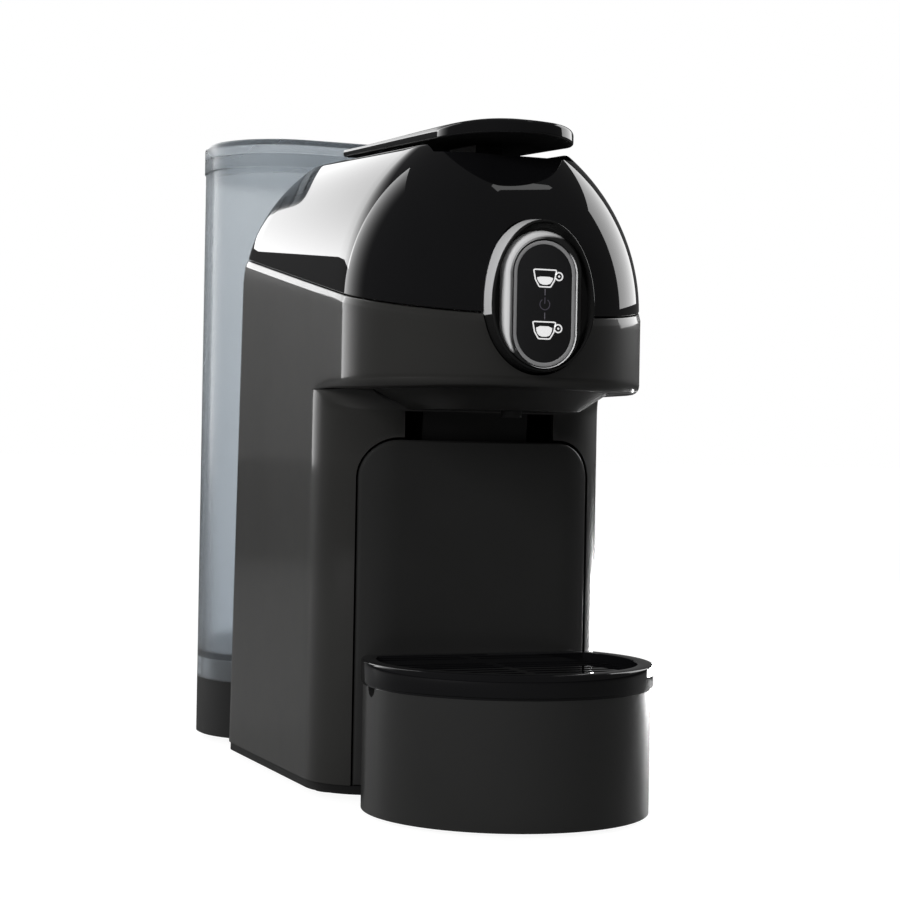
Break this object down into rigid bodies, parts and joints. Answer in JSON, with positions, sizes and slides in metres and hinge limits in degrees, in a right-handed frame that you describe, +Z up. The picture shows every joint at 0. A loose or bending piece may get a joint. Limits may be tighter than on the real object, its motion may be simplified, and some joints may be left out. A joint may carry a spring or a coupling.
{
  "type": "capsule coffee machine",
  "caption": "Tall narrow countertop coffee machine with a lever-closed capsule slot, a rocker on an oval panel, a round drip tray drawer and a lift-off water tank behind.",
  "frame": {"origin": "centre of the footprint's bounding box, at the bottom of the rubber feet", "axes": "+Z up, -Y out of the front with the panel and the tray, +X to the right seen from the front"},
  "size_m": [0.124, 0.3214, 0.2815],
  "materials": {
    "housing_plastic": "satin",
    "gloss_black": "gloss",
    "dark_plastic": "matte",
    "drawer_plastic": "satin",
    "rocker_grey": "gloss",
    "silver_trim": "polished",
    "panel_edge": "gloss",
    "tank_plastic": "frosted",
    "lid_plastic": "satin",
    "seat_plastic": "matte",
    "white_plastic": "matte",
    "rubber_black": "matte",
    "silicone_hose": "satin",
    "steel": "brushed",
    "cast_aluminium": "cast",
    "brass": "satin",
    "board_green": "satin",
    "coil_case": "matte"
  },
  "bodies": {
    "machine": {"main_housing": "housing_plastic", "spout_canopy": "dark_plastic", "top_cover": "gloss_black", "rear_cover": "dark_plastic", "cover_screws": "steel", "rubber_feet": "rubber_black", "base_plate": "dark_plastic", "base_screws": "steel", "control_panel": "panel_edge", "rocker_surround": "gloss_black", "control_board": "board_green", "micro_switches": "coil_case", "lever_pin": "steel", "brew_frame": "white_plastic", "frame_screws": "steel", "water_head": "cast_aluminium", "head_gasket": "rubber_black", "piercing_needles": "steel", "capsule_guide": "dark_plastic", "coffee_funnel": "dark_plastic", "coffee_spout": "dark_plastic", "capsule_chute": "dark_plastic", "chassis": "white_plastic", "boiler_body": "cast_aluminium", "heating_element": "steel", "thermostat": "steel", "boiler_straps": "steel", "pump_body": "brass", "pump_coil": "coil_case", "pump_spring": "steel", "pump_mounts": "rubber_black", "flow_meter": "white_plastic", "power_board": "board_green", "suction_hose": "silicone_hose", "feed_hose": "silicone_hose", "pressure_hose": "silicone_hose", "brew_hose": "silicone_hose", "cable_gland": "rubber_black", "tank_seat": "seat_plastic", "tank_port": "dark_plastic", "port_seal": "rubber_black"},
    "lever": {"closing_lever": "gloss_black", "slot_plug": "dark_plastic", "crank_pin": "steel"},
    "holder": {"capsule_holder": "white_plastic", "guide_pins": "steel"},
    "rocker": {"rocker_button": "rocker_grey", "rocker_trim": "silver_trim"},
    "tank": {"water_tank": "tank_plastic", "tank_valve": "white_plastic", "tank_filter": "white_plastic"},
    "tank_cover": {"tank_lid": "lid_plastic"},
    "drawer": {"drip_tray_drawer": "drawer_plastic", "drawer_front": "drawer_plastic", "capsule_bin": "dark_plastic"},
    "tray_ring": {"drip_ring": "gloss_black"},
    "tray_grid": {"drip_grid": "gloss_black"},
    "piston": {"pump_piston": "steel"}
  },
  "joints": [
    {"name": "lever_hinge", "type": "hinge", "parent": "machine", "child": "lever", "pos_m": [0, 0.024, 0.25368], "axis": [-1, 0, 0], "range_deg": [0, 75]},
    {"name": "holder_slide", "type": "slide", "parent": "machine", "child": "holder", "axis": [0, -1, 0], "range_m": [0, 0.03165]},
    {"name": "rocker_hinge", "type": "hinge", "parent": "machine", "child": "rocker", "pos_m": [0, -0.131, 0.1936], "axis": [1, 0, 0], "range_deg": [-2.5, 2.5], "stiffness_Nm_per_rad": 1},
    {"name": "tank_lift", "type": "slide", "parent": "machine", "child": "tank", "axis": [0, 0, 1], "range_m": [0, 0.08]},
    {"name": "tank_cover_lift", "type": "slide", "parent": "tank", "child": "tank_cover", "axis": [0, 0, 1], "range_m": [0, 0.04]},
    {"name": "drawer_slide", "type": "slide", "parent": "machine", "child": "drawer", "axis": [0, -1, 0], "range_m": [0, 0.11]},
    {"name": "tray_ring_lift", "type": "slide", "parent": "drawer", "child": "tray_ring", "axis": [0, 0, 1], "range_m": [0, 0.03]},
    {"name": "tray_grid_lift", "type": "slide", "parent": "tray_ring", "child": "tray_grid", "axis": [0, 0, 1], "range_m": [0, 0.02]},
    {"name": "piston_slide", "type": "slide", "parent": "machine", "child": "piston", "axis": [0, 0, 1], "range_m": [-0.003, 0.003], "stiffness_N_per_m": 400, "deforming": ["pump_spring"]}
  ],
  "couplings": [
    {"joint": "holder_slide", "follows": "lever_hinge", "m_per_rad": 0.02417}
  ]
}
